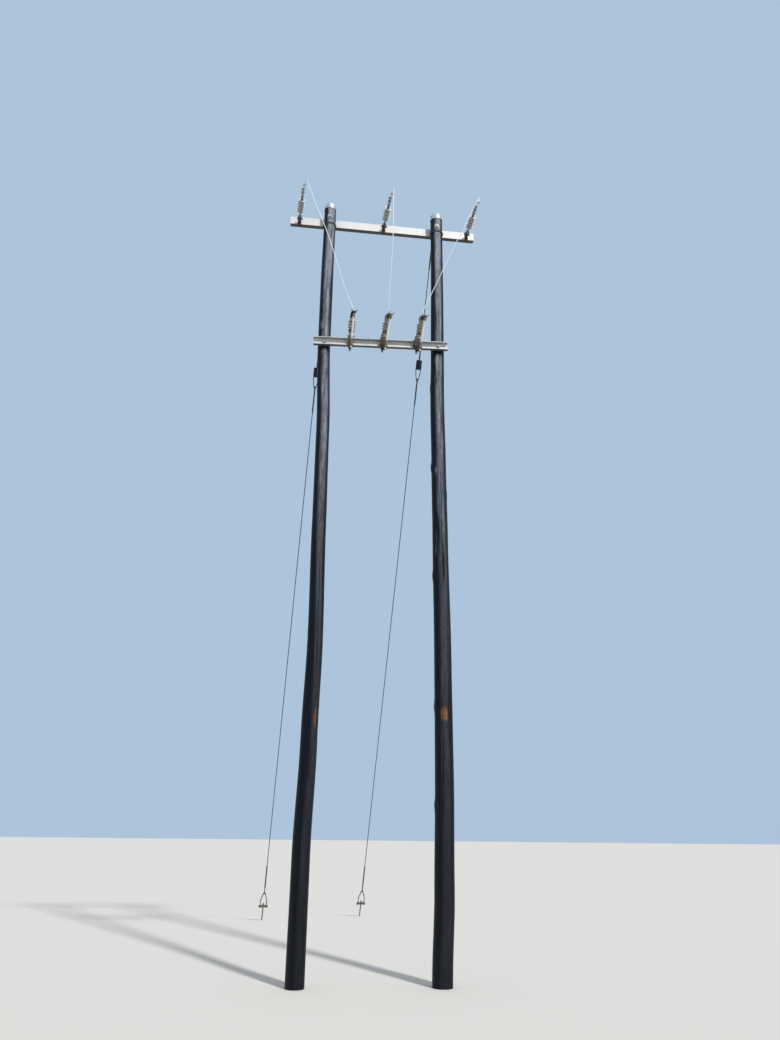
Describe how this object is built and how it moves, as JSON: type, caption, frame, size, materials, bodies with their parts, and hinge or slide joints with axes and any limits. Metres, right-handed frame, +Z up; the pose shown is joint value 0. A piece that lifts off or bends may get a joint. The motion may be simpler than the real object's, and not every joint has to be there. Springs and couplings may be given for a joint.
{
  "type": "wooden h-frame utility pole",
  "caption": "Two-pole wooden line terminal with steel crossarms, strain insulators, jumpers, drop-out fuse cutouts and back stays.",
  "frame": {"origin": "centre of the left pole's section at ground level", "axes": "+X along the crossarms from the left pole to the right one, +Y towards the back stays and away from the line, +Z up"},
  "size_m": [2.729, 7.1291, 9.72],
  "materials": {
    "pole_wood": "creosoted, weathered and slightly glossy",
    "cap_metal": "bright sheet, weathered",
    "galvanised": "hot-dip galvanised, dull",
    "rusty_steel": "rusted and dirty",
    "dull_steel": "weathered galvanised",
    "grey_polymer": "matte",
    "clamp_aluminium": "cast, dull",
    "bare_aluminium": "bright strand",
    "cutout_porcelain": "glazed, dirty",
    "stay_porcelain": "brown glaze",
    "cast_bronze": "cast, dark with age",
    "fuse_tube": "painted fibre tube",
    "stay_wire": "galvanised strand"
  },
  "bodies": {
    "structure": {"pole_left": "pole_wood", "pole_right": "pole_wood", "pole_cap_left": "cap_metal", "pole_cap_right": "cap_metal", "upper_arm": "galvanised", "lower_arm": "galvanised", "upper_arm_bolts": "galvanised", "lower_arm_bolts": "galvanised", "strain_bracket_left": "rusty_steel", "strain_bracket_middle": "rusty_steel", "strain_bracket_right": "rusty_steel", "shackle_left": "dull_steel", "shackle_middle": "dull_steel", "shackle_right": "dull_steel", "strain_insulator_left": "grey_polymer", "strain_insulator_middle": "grey_polymer", "strain_insulator_right": "grey_polymer", "strain_clamp_left": "clamp_aluminium", "strain_clamp_middle": "clamp_aluminium", "strain_clamp_right": "clamp_aluminium", "line_tap_left": "bare_aluminium", "line_tap_middle": "bare_aluminium", "line_tap_right": "bare_aluminium", "jumper_left": "bare_aluminium", "jumper_middle": "bare_aluminium", "jumper_right": "bare_aluminium", "cutout_bracket_left": "rusty_steel", "cutout_bracket_middle": "rusty_steel", "cutout_bracket_right": "rusty_steel", "cutout_insulator_left": "cutout_porcelain", "cutout_insulator_middle": "cutout_porcelain", "cutout_insulator_right": "cutout_porcelain", "cutout_irons_left": "dull_steel", "cutout_irons_middle": "dull_steel", "cutout_irons_right": "dull_steel", "stay_top_left": "stay_wire", "stay_top_right": "stay_wire", "stay_insulator_left": "stay_porcelain", "stay_insulator_right": "stay_porcelain", "stay_wire_left": "stay_wire", "stay_wire_right": "stay_wire", "stay_bow_left": "dull_steel", "stay_bow_right": "dull_steel", "stay_rod_left": "dull_steel", "stay_rod_right": "dull_steel"},
    "carrier_left": {"fuse_carrier_left": "cast_bronze", "fuse_tube_left": "fuse_tube"},
    "carrier_middle": {"fuse_carrier_middle": "cast_bronze", "fuse_tube_middle": "fuse_tube"},
    "carrier_right": {"fuse_carrier_right": "cast_bronze", "fuse_tube_right": "fuse_tube"}
  },
  "joints": [
    {"name": "fuse_drop_left", "type": "hinge", "parent": "structure", "child": "carrier_left", "pos_m": [0.34066, -0.40743, 7.2146], "axis": [0.9945, 0.1045, 0], "range_deg": [0, 155]},
    {"name": "fuse_drop_middle", "type": "hinge", "parent": "structure", "child": "carrier_middle", "pos_m": [0.77361, -0.40382, 7.22404], "axis": [0.9511, 0.309, 0], "range_deg": [0, 155]},
    {"name": "fuse_drop_right", "type": "hinge", "parent": "structure", "child": "carrier_right", "pos_m": [1.21561, -0.40382, 7.23407], "axis": [0.9511, 0.309, 0], "range_deg": [0, 155]}
  ]
}
